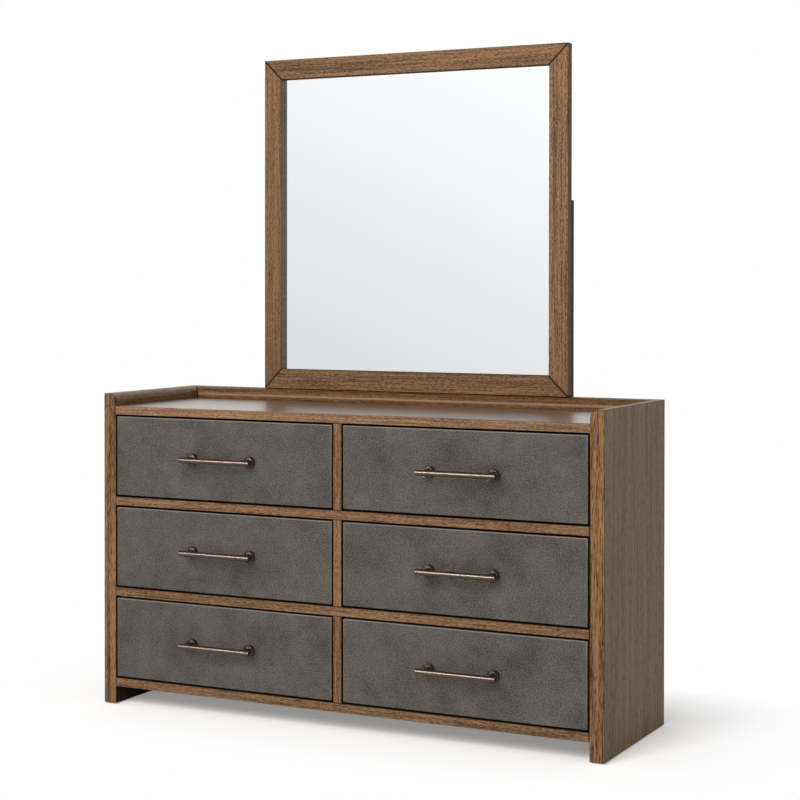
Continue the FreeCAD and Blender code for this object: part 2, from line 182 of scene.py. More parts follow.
class Wire:
    """One output of a node. Arithmetic on it adds Math nodes, and node() adds any other node."""

    def __init__(self, tree, socket=None):
        self.tree = tree
        self.socket = socket

    def node(self, kind, settings=None, inputs=None, output=0):
        """Add a node: first its settings, then the values or links of its sockets."""
        made = self.tree.nodes.new(f"ShaderNode{kind}")
        for name, setting in (settings or {}).items():
            setattr(made, name, setting)
        for name, value in (inputs or {}).items():
            if isinstance(value, Wire):
                self.tree.links.new(value.socket, made.inputs[name])
            else:
                made.inputs[name].default_value = value
        return Wire(self.tree, made.outputs[output] if made.outputs else None)

    def math(self, operation, first, second, clamp=False):
        """A Math node of two values or wires."""
        return self.node("Math", {"operation": operation, "use_clamp": clamp}, {0: first, 1: second})

    def __add__(self, other):
        return self.math("ADD", self, other)

    def __radd__(self, other):
        return self.math("ADD", other, self)

    def __sub__(self, other):
        return self.math("SUBTRACT", self, other)

    def __rsub__(self, other):
        return self.math("SUBTRACT", other, self)

    def __mul__(self, other):
        return self.math("MULTIPLY", self, other)

    def __rmul__(self, other):
        return self.math("MULTIPLY", other, self)

    def __abs__(self):
        return self.math("ABSOLUTE", self, 0.0)

    def least(self, other):
        """The smaller of two values."""
        return self.math("MINIMUM", self, other)

    def most(self, other):
        """The larger of two values."""
        return self.math("MAXIMUM", self, other)

    def clamped(self):
        """This value, held between 0 and 1."""
        return self.math("ADD", self, 0.0, clamp=True)

    def past(self, start, reach):
        """0 up to a start, and from there on rising to 1 within a reach."""
        return ((self - start) * (1 / reach)).clamped()

    def short_of(self, end, reach):
        """0 from an end on, and 1 a reach or more before it."""
        return ((end - self) * (1 / reach)).clamped()

    def attribute(self, name):
        """A vector that the mesh holds for each of its points."""
        return self.node("Attribute", {"attribute_name": name}, output="Vector")

    def place(self):
        """The place of a point in metres."""
        return self.node("TexCoord", output="Object")

    def part(self, axis):
        """One part of a vector, by its axis."""
        return self.node("SeparateXYZ", {}, {0: self}, output=axis)

    def vector(self, operation, other=(0, 0, 0), output="Vector"):
        """A Vector Math node of this vector and another one."""
        return self.node("VectorMath", {"operation": operation}, {0: self, 1: other}, output)

    def stretch(self, scales):
        """A vector with each of its parts multiplied by a number of its own."""
        return self.vector("MULTIPLY", scales)

    def noise(self, scale=1.0, detail=2.0, roughness=0.5):
        """Cloudy noise from 0 to 1 at this place."""
        inputs = {"Vector": self, "Scale": scale, "Detail": detail, "Roughness": roughness}
        return self.node("TexNoise", {}, inputs)

    def towards(self, first, second):
        """Colour that goes from the first to the second as this value goes from 0 to 1."""
        return self.node("Mix", {"data_type": "RGBA"}, {0: self, 6: first, 7: second}, output=2)

    def bump(self, distance, strength=1.0):
        """Normal of a surface that this value raises by a distance."""
        return self.node("Bump", {}, {"Height": self, "Distance": distance, "Strength": strength})


def start_finish(name):
    """A new material, and a wire to start its nodes from."""
    material = bpy.data.materials.new(name)
    material.use_nodes = True
    material.node_tree.nodes.clear()
    return material, Wire(material.node_tree)


def end_finish(wire, **sockets):
    """Close a material with its shader. A socket's name is written with underscores for its spaces."""
    inputs = {name.replace("_", " "): value for name, value in sockets.items()}
    wire.node("OutputMaterial", {}, {"Surface": wire.node("BsdfPrincipled", {}, inputs)})


def near_edge(wire, full, reach):
    """How near a point is to an edge of its board: 1 within a full distance, and 0 from a reach on.

    Of the distances to the three pairs of sides, the least is to the face that the point is on, so the
    middle one is the distance to the nearest edge.
    """
    sides = wire.attribute("to_low").vector("MINIMUM", wire.attribute("to_high"))
    x, y, z = (sides.part(axis) for axis in "XYZ")
    middle = x.least(y).most(x.most(y).least(z))
    return middle.short_of(reach, reach - full)


def near_end(wire, full, reach):
    """How near a point is to an end of its board: 1 within a full distance, and 0 from a reach on."""
    ends = wire.attribute("to_ends")
    return ends.part("X").least(ends.part("Y")).short_of(reach, reach - full)


def wood_finish(
    name, pale, brown, pore, roughness, figure=1.0, banded=1.0, fleck=100.0, stain=0.0, seam=0.0,
    lined=None, toned=None, shine=0.5, coated=None, relief=0.00012,
):
    """Wood: bands, veins, wandering growth lines, streaks, specks and pores, drawn out along the grain.

    The growth lines are a saw wave across the board, dark where each line starts and broken up by the
    specks. Figure is how strong all these marks are, banded how much stronger the bands and veins, and
    fleck how many specks lie in a metre along the grain. Dark lines run along the board's edges, partly
    stain and partly painted shade where boards meet, and dark joints lie within a seam's width of its
    ends. Painted shade darkens and dulls the faces that the shading argument names. A part of the board
    that the toning argument names leans to another colour, used for a tint, for painted shade and for a
    painted highlight, and a coat of lacquer lies where coated says so.
    """
    material, wire = start_finish(name)
    grain = wire.attribute("grain")

    def drawn_out(along, across, detail, rough=0.5):
        """Noise about 0, with so many marks in a metre along the grain and across it."""
        return grain.stretch((along, across, across)).noise(1.0, detail, rough) - 0.5

    wander = drawn_out(5.0, 11.0, 1.0)
    drift = drawn_out(1.5, 6.0, 1.0)
    bands = drawn_out(0.9, 30.0, 2.0)
    veins = drawn_out(1.8, 150.0, 2.0)
    streaks = drawn_out(7.0, 430.0, 3.0, 0.6)
    specks = drawn_out(fleck, 540.0, 2.0, 0.6)
    dashes = drawn_out(60.0, 900.0, 1.0)

    pitch_across, sway_across = 0.0088, 0.055
    pitch_through, sway_through = 0.0112, 0.035
    across = (grain.part("Y") + wander * sway_across) * (1 / pitch_across)
    through = (grain.part("Z") + drift * sway_through) * (1 / pitch_through)
    rings = across + through + bands * 2.0
    saw = rings.math("FRACT", rings, 0.0)
    line_share = 1 / 2.4
    broken_up = (0.55 + specks * 2.4 + streaks * 1.2).clamped()
    lines = saw.short_of(line_share, line_share) * broken_up

    usual_tone = 0.63
    broad = bands * 0.8 + veins * 1.2
    fine = (streaks + specks) * 2.6 - lines * 0.30
    tone = (usual_tone + broad * (figure * banded) + fine * figure).clamped()
    pore_start, pore_fade, pore_share = 0.04, 1 / 6, 0.7
    pits = (dashes - specks * 0.5 + lines * 0.12).past(pore_start, pore_fade) * figure
    colour = (pits * pore_share).towards(tone.towards(brown, pale), pore)
    dullness = roughness + (tone - 0.5) * 0.08 + pits * 0.15

    edge_full, edge_reach = 0.0005, 0.0015
    seam_full, seam_reach, seam_share = 0.6, 1.4, 0.95
    shade_dullness = 0.6
    # Another colour over part of the board; callers use it for a tint, for painted shade and for a
    # painted highlight.
    if toned:
        share, lean = toned
        colour = share(wire).towards(colour, lean)
    # Dark edge lines: partly stain, partly painted shade where boards meet.
    if stain:
        colour = (near_edge(wire, edge_full, edge_reach) * stain).towards(colour, pore)
    if seam:
        seamed = near_end(wire, seam_full * seam, seam_reach * seam) * seam_share
        colour = seamed.towards(colour, pore)
    # Painted shade over the faces that the caller names, which also turn duller.
    if lined:
        shading = lined(wire)
        colour = shading.towards(colour, pore)
        dullness = dullness + shading * shade_dullness
    end_finish(
        wire,
        Base_Color=colour,
        Roughness=dullness,
        Normal=(tone * 0.3 - pits).bump(relief, strength=0.45),
        Specular_IOR_Level=shine,
        Coat_Weight=coated(wire) if coated else 0.0,
        Coat_Roughness=roughness,
    )
    return material


oak_pale = (0.278, 0.146, 0.0625, 1)
oak_brown = (0.048, 0.022, 0.009, 1)
oak_pore = (0.012, 0.006, 0.004, 1)
oak_roughness = 0.36
veneer_grey_and_sheen = (0.24, 0.26, 0.17, 1)
veneer_and_sheen_share = 0.1
shade_share = 0.9
shade_inset = 0.0015
shade_fade = 1 / 600
veneer_depth = 0.0006
face_depth = 0.0008
face_fade = 1 / 3000
panel_low, panel_high = box_of("left_side_panel")
gallery_low, gallery_high = box_of("gallery_rail")
top_low, top_high = box_of("top_panel")
inner_face = face_depth - panel_high[0]
outer_face = -panel_low[0] - veneer_depth
shade_front = panel_low[1] + shade_inset


def oak_finish(name, pale=oak_pale, **ways):
    """The case's oak, in its own pale tone or another one."""
    return wood_finish(name, pale, oak_brown, oak_pore, oak_roughness, **ways)


def shade_inside_openings(wire):
    """Share of painted shade on the panels' inner faces, behind their front edges and below the top."""
    place = wire.place()
    facing_in = abs(place.part("X")).short_of(inner_face, face_fade)
    behind = place.part("Y").past(shade_front, shade_fade)
    below = place.part("Z").short_of(top_low[2], shade_fade)
    return facing_in * behind * below * shade_share


def veneer_and_sheen_on_outer_face(wire):
    """Share of a greyer tone on the panels' outer faces, inside their solid edges: veneer and painted
    sheen.
    """
    return abs(wire.place().part("X")).past(outer_face, face_fade) * veneer_and_sheen_share


# Painted shade darkens the panels' inner faces in the openings; the outer faces' greyer tone is part
# painted sheen.
panel_oak = oak_finish(
    "panel_oak", figure=1.1, banded=1.7, fleck=40.0, stain=0.8, lined=shade_inside_openings,
    toned=(veneer_and_sheen_on_outer_face, veneer_grey_and_sheen), shine=0.14,
)
lipping_oak = oak_finish("lipping_oak", seam=0.0025, shine=0.3)
panel_ease = 0.0012
panel_round = 0.025
lipping_step = 0.0004
mitre_play = 0.0003


def side_panel():
    """Skin of the left panel: a ring for each place through its thickness, from the outer face inwards.

    Each ring is the panel's side view. Its top falls by the large round as the inner face comes near,
    its back corner above the case's top goes forward as fast as the ring goes in, and near both faces it
    is drawn in by a small quarter round.
    """
    outer, inner, top = panel_low[0], panel_high[0], panel_high[2]
    ease_angle = np.linspace(math.pi / 2, 0, 5)
    round_angle = np.linspace(0, math.pi / 2, 19)
    across = np.concatenate((
        outer + panel_ease * (1 - np.sin(ease_angle)),
        (inner - panel_round - 2 * lipping_step,),
        inner - panel_round * (1 - np.sin(round_angle)),
    ))
    height = np.concatenate((
        np.full(len(ease_angle) + 1, top),
        top - lipping_step - panel_round * (1 - np.cos(round_angle)),
    ))
    to_face = np.minimum(across - outer, inner - across)
    drawn_in = panel_ease - np.sqrt(panel_ease**2 - np.clip(panel_ease - to_face, 0, panel_ease)**2)
    front, back, foot, ledge = panel_low[1], panel_high[1], panel_low[2], top_high[2]
    mitre_start = 1.3 * panel_ease
    mitre = back - np.maximum(mitre_play + across - outer, mitre_start)
    radii = np.array((1.5, 1.5, 1.05, 0.1, 1.2, 1.5)) * panel_ease
    rings = []
    for x, z, behind, inset in zip(across, height, mitre, drawn_in):
        corners = ((front, foot), (back, foot), (back, ledge), (behind, ledge), (behind, z), (front, z))
        points, normals = rounded_outline(corners, radii)
        rings.append(np.column_stack((np.full(len(points), x), points - inset * normals)))
    return np.array(rings), 0, 2


def panel_lipping():
    """Skin of the left panel's lipping, a strip along Y with the large round at its inner top edge."""
    outer, inner, top = panel_low[0], panel_high[0] + lipping_step / 2, panel_high[2]
    below = top_high[2] - panel_ease
    seam = inner - panel_round - 2 * lipping_step
    outline = rounded_outline(
        ((below, seam), (top, seam), (top, inner), (below, inner)),
        np.array((lipping_step, lipping_step, panel_round, lipping_step)),
        steps=12,
    )
    front_end = panel_low[1] + lipping_step
    back_end = panel_high[1] - mitre_play
    lipping_ease = lipping_step * 0.9
    return eased_bar(outline, 1, front_end, lambda z, x: back_end - (x - outer), lipping_ease)


left_skins = side_panel(), panel_lipping()
for side, skins in (("left", left_skins), ("right", [mirrored(skin) for skin in left_skins])):
    panel = make_piece(f"{side}_panel", skins[:1], panel_oak)
    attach(panel, "case")
    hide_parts(f"{side}_side_panel")
    lipping = make_piece(f"{side}_lipping", skins[1:], lipping_oak)
    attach(lipping, "case")


# Top panel: one wide oak board let in between the side panels, level with the foot of the gallery rail.
# Its lacquer is rubbed smoother than the rest, so the top mirrors what stands on it.

def straight_board(low, high, along, edge, ease):
    """Skin of a plain board between two corners, its long edges and its ends rounded."""
    across, up = (along + 1) % 3, (along + 2) % 3
    corners = (
        (low[across], low[up]), (high[across], low[up]),
        (high[across], high[up]), (low[across], high[up]),
    )
    return eased_bar(rounded_outline(corners, np.full(4, edge)), along, low[along], high[along], ease)


board_edge = 0.0009
board_ease = 0.0006
top_depth = 0.00075
top_fade = 0.0005


def on_top(wire):
    """1 on the upper face of a board, and 0 on the others."""
    return wire.attribute("to_high").part("Z").short_of(top_depth, top_fade)


top_pale = (0.340, 0.180, 0.078, 1)
top_brown = (0.060, 0.028, 0.012, 1)
# The top board's upper face leans halfway to this darker colour: painted shade on the top face.
top_face_shade = (0.060, 0.031, 0.013, 1)
top_face_shade_share = 0.5
rubbed_roughness = 0.34
rubbed_oak = wood_finish(
    "rubbed_oak", top_pale, top_brown, oak_pore, rubbed_roughness, stain=0.2,
    toned=(lambda wire: on_top(wire) * top_face_shade_share, top_face_shade), coated=on_top, relief=0.00002,
)
top_skin = straight_board(top_low, top_high, 0, board_edge, board_ease)
top = make_piece("top_board", [top_skin], rubbed_oak)
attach(top, "case")
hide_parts("top_panel")


# Gallery rail: a strip of darker oak along the back of the top, partly its own tone and partly painted
# shade from the mirror above. Its front top edge is rounded like the side panels' and carries a painted
# highlight along the round. Its ends are cut at 45 degrees and glued to the side panels.

gallery_base = top_high[2]
gallery_outline = rounded_outline(
    (
        (gallery_low[1], gallery_base), (gallery_high[1], gallery_base),
        (gallery_high[1], gallery_high[2]), (gallery_low[1], gallery_high[2]),
    ),
    np.array((board_edge, board_edge, board_edge, panel_round)),
    steps=12,
)
gallery_reach = gallery_high[0]
# The gallery's colours are darker than the case's oak, partly as painted shade from the mirror above. The
# paler colour along the round is a painted highlight.
gallery_pale = (0.225, 0.102, 0.031, 1)
gallery_brown = (0.040, 0.016, 0.005, 1)
gallery_highlight = (0.44, 0.30, 0.18, 1)
highlight_level = gallery_base + 0.0135
highlight_reach = 0.005
highlight_share = 0.6


def highlight_along_round(wire):
    """Share of painted highlight on the gallery's round: most at its level, none a reach above or below.
    """
    return abs(wire.place().part("Z") - highlight_level).short_of(highlight_reach, highlight_reach) * highlight_share


gallery_oak = wood_finish(
    "gallery_oak", gallery_pale, gallery_brown, oak_pore, oak_roughness, seam=0.0022,
    toned=(highlight_along_round, gallery_highlight), shine=0.4,
)
gallery = make_piece("gallery", [eased_bar(
    gallery_outline, 0,
    lambda y, z: gallery_high[1] - y - gallery_reach,
    lambda y, z: gallery_reach - gallery_high[1] + y,
    board_ease,
)], gallery_oak)
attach(gallery, "case")
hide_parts("gallery_rail")


# Front rails and centre stiles: solid oak strips that frame the drawers, flush with the panels' front
# edges. The rails run through from panel to panel, and the short stiles are butted between them.

front_depth = 0.0012
front_fade = 1 / 700


def behind_front(wire, share):
    """Share, as given, of every face of a board that lies behind its front one, mostly used as painted
    shade.
    """
    return wire.attribute("to_low").part("Y").past(front_depth, front_fade) * share


# Faces of the rails and stiles that lie behind their fronts are painted dark: painted shade in the
# reveals.
rail_oak = oak_finish(
    "rail_oak", stain=0.5, seam=0.0015, lined=lambda wire: behind_front(wire, shade_share), shine=0.3,
)
for level in ("bottom", "lower", "upper"):
    rail_skin = straight_board(*box_of(f"{level}_front_rail"), 0, board_edge, board_ease)
    rail = make_piece(f"{level}_rail", [rail_skin], rail_oak)
    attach(rail, "case")
    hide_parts(f"{level}_front_rail")
for level in ("lower", "middle", "upper"):
    stile_skin = straight_board(*box_of(f"{level}_centre_stile"), 2, board_edge, board_ease)
    stile = make_piece(f"{level}_stile", [stile_skin], rail_oak)
    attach(stile, "case")
    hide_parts(f"{level}_centre_stile")


# Bottom panel, centre partition, rear rail and back panel: veneered plywood that closes the case.
# They are glued and pinned behind the rails, and only show from behind or past an open drawer.

plywood_pale = (0.30, 0.195, 0.105, 1)
plywood_brown = (0.20, 0.118, 0.060, 1)
plywood_pore = (0.09, 0.05, 0.026, 1)
plywood_roughness = 0.55
plywood = wood_finish(
    "veneered_plywood", plywood_pale, plywood_brown, plywood_pore, plywood_roughness, figure=0.6,
)
for node, along in (
    ("bottom_panel", 0), ("centre_partition", 1), ("rear_top_rail", 0), ("back_panel", 0),
):
    sheet_skin = straight_board(*box_of(node), along, board_edge, board_ease)
    sheet = make_piece(f"{node}_sheet", [sheet_skin], plywood)
    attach(sheet, "case")
    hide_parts(node)


# Floor glides: turned plastic buttons pressed into the feet of the side panels.
# Only their thin rims show, as a dark line under the panels.

def turned(profile, along, centre, around=40):
    """Skin of a turned piece: each radius and height of the profile becomes a circle round an axis."""
    radius, height = (column[:, None] for column in np.asarray(profile, float).T)
    angle = np.linspace(0, 2 * math.pi, around, endpoint=False)
    rings = np.empty((len(radius), around, 3))
    rings[..., along] = centre[along] + height
    rings[..., (along + 1) % 3] = centre[(along + 1) % 3] + radius * np.cos(angle)
    rings[..., (along + 2) % 3] = centre[(along + 2) % 3] + radius * np.sin(angle)
    return rings, along, along


def rounded_path(corners, radii, steps=4):
    """Open path through corners, with every corner between the two ends rounded to its own radius."""
    arcs = rounded_outline(corners, np.pad(radii, 1), steps)[0].reshape(len(corners), steps + 1, 2)
    return np.concatenate((corners[:1], arcs[1:-1].reshape(-1, 2), corners[-1:]))


glide_low, glide_high = box_of("floor_glides")
glide_radius = 0.0125
glide_middle = 0.002
glide_round = 0.0012
glide_rim = 0.0004
glide_profile = rounded_path(
    np.array((
        (glide_middle, 0), (glide_radius, 0),
        (glide_radius, glide_high[2]), (glide_middle, glide_high[2]),
    )),
    np.array((glide_round, glide_rim)),
)
glide_black = (0.008, 0.008, 0.008, 1)
glide_grey = (0.016, 0.015, 0.014, 1)
glide_plastic, wire = start_finish("glide_plastic")
speckle = wire.place().noise(scale=900.0, detail=3.0)
end_finish(
    wire,
    Base_Color=speckle.towards(glide_black, glide_grey),
    Roughness=0.45 + speckle * 0.15,
    Normal=speckle.bump(distance=0.00004, strength=0.4),
)
glides = make_piece("glides", [
    turned(glide_profile, 2, (x, y, 0.0))
    for x in (glide_low[0] + glide_radius, glide_high[0] - glide_radius)
    for y in (glide_low[1] + glide_radius, glide_high[1] - glide_radius)
], glide_plastic)
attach(glides, "case")
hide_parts("floor_glides")


# Mirror supports: two battens stained near black, screwed to the back of the case and of the mirror
# frame. Each is held by four pan-head screws of zinc-plated steel.

support_low, support_high = box_of("mirror_supports")
support_width = 0.060
support_edge = 0.002
batten_pale = (0.022, 0.017, 0.014, 1)
batten_brown = (0.011, 0.008, 0.007, 1)
batten_pore = (0.004, 0.003, 0.003, 1)
batten_roughness = 0.50
dark_wood = wood_finish(
    "dark_stained_wood", batten_pale, batten_brown, batten_pore, batten_roughness, shine=0.2,
)
supports = make_piece("supports", [
    straight_board(
        np.array((left, support_low[1], support_low[2])),
        np.array((left + support_width, support_high[1], support_high[2])),
        2, support_edge, support_edge / 2,
    )
    for left in (support_low[0], support_high[0] - support_width)
], dark_wood)
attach(supports, "case")
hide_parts("mirror_supports")

screw_head_radius = 0.0045
screw_head_height = 0.0024
screw_rim_share = 0.45
screw_shank_radius = 0.002
screw_tip_radius = 0.3 * screw_shank_radius
screw_recess = 0.0013
screw_slot = 0.0006
screw_cross = 0.6 * screw_head_radius


def pan_screw(centre, shank_length):
    """Skin of a screw that points to the front, its head's underside at centre.

    The head's back is a low dome. A cross is sunk into it: the dome less a depth that fades from the
    middle of the cross's two slots to their edges and ends.
    """
    stem_radius = (screw_tip_radius, screw_shank_radius, screw_shank_radius, screw_head_radius)
    stem_height = (-shank_length, -shank_length + screw_shank_radius, 0, 0)
    dome = np.linspace(1, 0.06, 16)
    dome_share = screw_rim_share + (1 - screw_rim_share) * np.sqrt(1 - dome**2)
    radius = np.concatenate((stem_radius, screw_head_radius * dome))
    height = np.concatenate((stem_height, screw_head_height * dome_share))
    rings, run, along = turned(np.column_stack((radius, height)), 1, centre, around=48)
    head = rings[len(stem_radius) :]
    up, across = np.abs(head[..., 2] - centre[2]), np.abs(head[..., 0] - centre[0])
    in_slot = np.clip(1.5 - np.minimum(up, across) / screw_slot, 0, 1)
    in_cross = np.clip(4 * (1 - np.maximum(up, across) / screw_cross), 0, 1)
    head[..., 1] -= screw_recess * in_slot * in_cross
    return rings, run, along


steel_grey = (0.36, 0.37, 0.38, 1)
steel_bright = (0.50, 0.505, 0.51, 1)
steel, wire = start_finish("zinc_plated_steel")
place = wire.place()
bloom = place.noise(scale=240.0, detail=3.0)
rolled = place.stretch((2600.0, 22.0, 2600.0)).noise()
end_finish(
    wire,
    Base_Color=bloom.towards(steel_grey, steel_bright),
    Metallic=1.0,
    Roughness=0.30 + rolled * 0.16,
    Normal=rolled.bump(distance=0.00002, strength=0.3),
)
support_screw_low, support_screw_high = box_of("support_screws")
screw_seat = support_screw_high[1] - screw_head_height
rear_rail_low, rear_rail_high = box_of("rear_top_rail")
rear_rail_height = rear_rail_high[2] - rear_rail_low[2]
screw_lift = 0.110
support_screws = make_piece("support_pan_screws", [
    pan_screw((x, screw_seat, z), screw_seat - support_screw_low[1])
    for x in (support_screw_low[0] + screw_head_radius, support_screw_high[0] - screw_head_radius)
    for z in (
        support_screw_high[2] - screw_head_radius, panel_high[2] + screw_lift,
        rear_rail_high[2] - rear_rail_height / 4, rear_rail_low[2] + rear_rail_height / 4,
    )
], steel)
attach(support_screws, "case")
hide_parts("support_screws")


# Mirror frame: four oak members with a rabbet behind, mitred at the corners, standing on the gallery
# rail. Each is cut from another board, so their tones differ. The mitres show as fine dark lines,
# because the edges are eased before gluing.

frame_edge = 0.0014
frame_ease = 0.0011
frame_low, left_member_high = box_of("mirror_left_member")
frame_high = box_of("mirror_right_member")[1]
frame_face = left_member_high[0] - frame_low[0]
frame_depth = frame_high[1] - frame_low[1]
frame_middle = (frame_low[2] + frame_high[2]) / 2
glass_low, glass_high = box_of("mirror_glass")
lip_depth = glass_low[1] - frame_low[1]
rabbet_play = 0.0008
rabbet_edge = glass_low[0] - frame_low[0] - rabbet_play
member_section = np.array((
    (0, 0), (frame_face, 0), (frame_face, lip_depth), (rabbet_edge, lip_depth),
    (rabbet_edge, frame_depth), (0, frame_depth),
))
member_radii = np.array((1, 1, 0.8, 0.8, 0.8, 1)) * frame_edge
upright_skin = eased_bar(
    rounded_outline(member_section + frame_low[:2], member_radii), 2,
    lambda x, y: frame_low[2] + (x - frame_low[0]),
    lambda x, y: frame_high[2] - (x - frame_low[0]),
    frame_ease,
)
level_skin = eased_bar(
    rounded_outline(member_section[::-1, ::-1] + frame_low[1:], member_radii[::-1]), 0,
    lambda y, z: frame_low[0] + (z - frame_low[2]),
    lambda y, z: frame_high[0] - (z - frame_low[2]),
    frame_ease,
)
frame_seam = 0.0030
frame_shine = 0.4
glass_lacquer = 0.7
glass_side = face_depth - frame_low[0] - frame_face


def beside_glass(wire):
    """1 on the uprights' edges beside the glass, and 0 on their other faces."""
    return abs(wire.place().part("X")).short_of(glass_side, face_fade) * behind_front(wire, share=1.0)


def upright_oak(name, pale):
    """Oak of an upright: painted darker behind its front, as shade, but lacquered beside the glass."""
    return oak_finish(
        name, pale, stain=0.6, seam=frame_seam, shine=frame_shine,
        lined=lambda wire: behind_front(wire, share=0.42) * (1 - beside_glass(wire)),
        coated=lambda wire: beside_glass(wire) * glass_lacquer,
    )


def level_oak(name, pale):
    """Oak of a top or bottom member: painted darker behind its front, as shade."""
    return oak_finish(
        name, pale, stain=0.9, seam=frame_seam, shine=frame_shine,
        lined=lambda wire: behind_front(wire, share=0.65),
    )


for place_name, skin, oak, pale in (
    ("left", upright_skin, upright_oak, (0.263, 0.138, 0.059, 1)),
    ("right", mirrored(upright_skin), upright_oak, (0.325, 0.170, 0.073, 1)),
    ("bottom", level_skin, level_oak, (0.320, 0.168, 0.072, 1)),
    ("top", mirrored(level_skin, axis=2, middle=frame_middle), level_oak, oak_pale),
):
    member = make_piece(f"frame_{place_name}", [skin], oak(f"{place_name}_frame_oak", pale))
    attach(member, "case")
    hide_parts(f"mirror_{place_name}_member")


# Mirror glass and backer: a sheet of silvered float glass, laid into the frame's rabbet from behind.
# A sheet of brown fibreboard covers its back and holds it there.

glass_edge = 0.0006
glass_ease = 0.8 * glass_edge
silver_dim = (0.905, 0.925, 0.935, 1)
silver_clear = (0.925, 0.945, 0.955, 1)
silver, wire = start_finish("silvered_glass")
haze = wire.place().noise(scale=5.0, detail=3.0)
end_finish(
    wire,
    Base_Color=haze.towards(silver_dim, silver_clear),
    Metallic=1.0,
    Roughness=haze * 0.02,
)
glass = make_piece("glass", [straight_board(glass_low, glass_high, 2, glass_edge, glass_ease)], silver)
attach(glass, "case")
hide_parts("mirror_glass")

fibre_dark = (0.085, 0.047, 0.024, 1)
fibre_pale = (0.185, 0.112, 0.060, 1)
fibreboard, wire = start_finish("fibreboard")
place = wire.place()
chips = place.noise(scale=520.0, detail=4.0, roughness=0.7)
damp = place.noise(scale=7.0, detail=3.0)
end_finish(
    wire,
    Base_Color=(chips * 0.7 + damp * 0.4 - 0.05).clamped().towards(fibre_dark, fibre_pale),
    Roughness=0.62 + chips * 0.2,
    Normal=chips.bump(distance=0.0001, strength=0.5),
)
backer_skin = straight_board(*box_of("mirror_backer"), 2, glass_edge, glass_ease)
backer = make_piece("backer", [backer_skin], fibreboard)
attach(backer, "case")
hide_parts("mirror_backer")


# Slide members: rolled steel channels, nested three deep at each side of a drawer. The outer ones are
# screwed to the case, the inner ones to the drawer, and the middle ones run between them.

slide_depth = 0.0092
slide_wall = 0.0015
slide_step = 0.0019
slide_bend = 0.0014
slide_lip = 0.0006
slide_hollow = 0.0005
slide_ease = 0.0003


def slide_channel(left, low, high, web_left):
    """Skin of one channel along Y: a web and two flanges with bent corners."""
    right = left + slide_depth
    web, open_side = (left, right) if web_left else (right, left)
    inside = web + slide_wall * (1 if web_left else -1)
    foot, head = low[2], high[2]
    corners = np.array((
        (foot, web), (foot, open_side), (foot + slide_wall, open_side), (foot + slide_wall, inside),
        (head - slide_wall, inside), (head - slide_wall, open_side), (head, open_side), (head, web),
    ))
    flange = (slide_bend, slide_lip, slide_lip, slide_hollow)
    bends = np.array(flange + flange[::-1])
    if web_left:
        corners = corners[::-1]
    return eased_bar(rounded_outline(corners, bends), 1, low[1], high[1], slide_ease, steps=1)


def slide_pair(low, high, web_outside):
    """Both channels of one kind at a drawer, from the box that holds the pair."""
    return [
        slide_channel(low[0], low, high, web_outside),
        slide_channel(high[0] - slide_depth, low, high, not web_outside),
    ]


drawer_names = [f"{row}_{side}" for row in ("lower", "middle", "upper") for side in ("left", "right")]
case_channels = []
for name in drawer_names:
    middle_low, middle_high = box_of(f"{name}_intermediate_members")
    outwards = np.array((slide_step, 0, slide_step))
    case_channels += slide_pair(middle_low - outwards, middle_high + outwards, True)
case_slides = make_piece("case_slides", case_channels, steel)
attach(case_slides, "case")
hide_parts("cabinet_members")
for name in drawer_names:
    middle_skins = slide_pair(*box_of(f"{name}_intermediate_members"), True)
    middle_slides = make_piece(f"{name}_middle_slides", middle_skins, steel)
    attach(middle_slides, f"{name}_runners")
    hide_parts(f"{name}_intermediate_members")
    drawer_skins = slide_pair(*box_of(f"{name}_drawer_members"), False)
    drawer_slides = make_piece(f"{name}_drawer_slides", drawer_skins, steel)
    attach(drawer_slides, f"{name}_drawer")
    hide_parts(f"{name}_drawer_members")


# Drawer boxes: clear-sealed hardwood boards, with a plywood bottom held in grooves in the sides and
# sub-front. The back stands on the bottom, and the edges are rounded over so that clothes don't catch.

box_board = 0.012
box_edge = 0.003
hardwood_pale = (0.47, 0.315, 0.175, 1)
hardwood_brown = (0.36, 0.225, 0.115, 1)
hardwood_pore = (0.20, 0.115, 0.055, 1)
hardwood_roughness = 0.48
drawer_wood = wood_finish(
    "sealed_hardwood", hardwood_pale, hardwood_brown, hardwood_pore, hardwood_roughness, figure=0.5,
)
for name in drawer_names:
    low, high = box_of(f"{name}_drawer_box")
    bottom_low, bottom_high = box_of(f"{name}_drawer_bottom")
    inner_left, inner_right = low[0] + box_board, high[0] - box_board
    boards = [
        straight_board(np.array(corner), np.array(opposite), along, box_edge, board_ease)
        for corner, opposite, along in (
            (low, (inner_left, high[1], high[2]), 1),
            ((inner_right, low[1], low[2]), high, 1),
            ((inner_left, low[1], low[2]), (inner_right, low[1] + box_board, high[2]), 0),
            ((inner_left, high[1] - box_board, bottom_high[2]), (inner_right, high[1], high[2]), 0),
        )
    ]
    box = make_piece(f"{name}_box", boards, drawer_wood)
    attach(box, f"{name}_drawer")
    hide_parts(f"{name}_drawer_box")
    bottom_skin = straight_board(bottom_low, bottom_high, 0, board_edge, board_ease)
    bottom = make_piece(f"{name}_bottom", [bottom_skin], plywood)
    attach(bottom, f"{name}_drawer")
    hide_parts(f"{name}_drawer_bottom")


# Drawer fronts: flat boards wrapped in matt grey-brown leather, drawn round soft edges and glued.
# The hide is clouded and finely pebbled. A painted highlight lies along its edges, strongest near the
# top and none along the lower edge.

front_edge = 0.0020
front_ease = 0.0014
front_play = 0.0020
hide_dark = (0.029, 0.025, 0.020, 1)
hide_pale = (0.119, 0.104, 0.088, 1)
hide_highlight = (0.270, 0.240, 0.208, 1)
